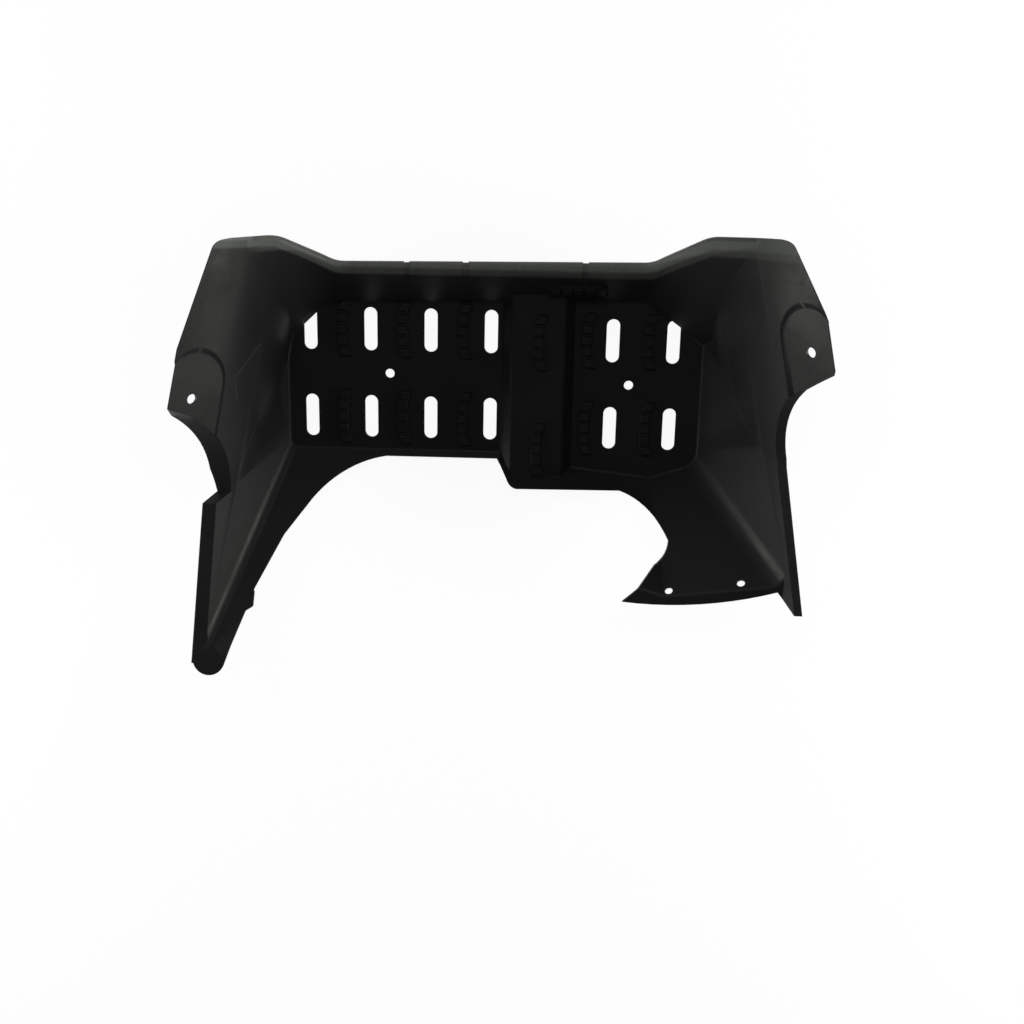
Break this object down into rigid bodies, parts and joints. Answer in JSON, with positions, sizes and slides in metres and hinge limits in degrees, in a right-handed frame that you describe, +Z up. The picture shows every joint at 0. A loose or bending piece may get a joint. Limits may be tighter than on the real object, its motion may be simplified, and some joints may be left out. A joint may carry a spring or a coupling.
{
  "type": "quad bike footwell shield",
  "caption": "Moulded plastic foot tray of a quad bike: slotted floor with grip cleats, a raised channel, a rolled outer rim, two wheel-arch ends with screw tabs and an inner cut-out.",
  "frame": {"origin": "middle of the floor, on its underside, level with the row of the left floor screw", "axes": "+X along the vehicle towards the deeper wheel arch, +Y to the vehicle's outer side, +Z up out of the foot space"},
  "size_m": [0.6082, 0.4418, 0.1756],
  "materials": {
    "black_plastic": "satin black injection-moulded polypropylene with a fine grain"
  },
  "bodies": {
    "root": {"footwell_shield": "black_plastic"}
  },
  "joints": []
}
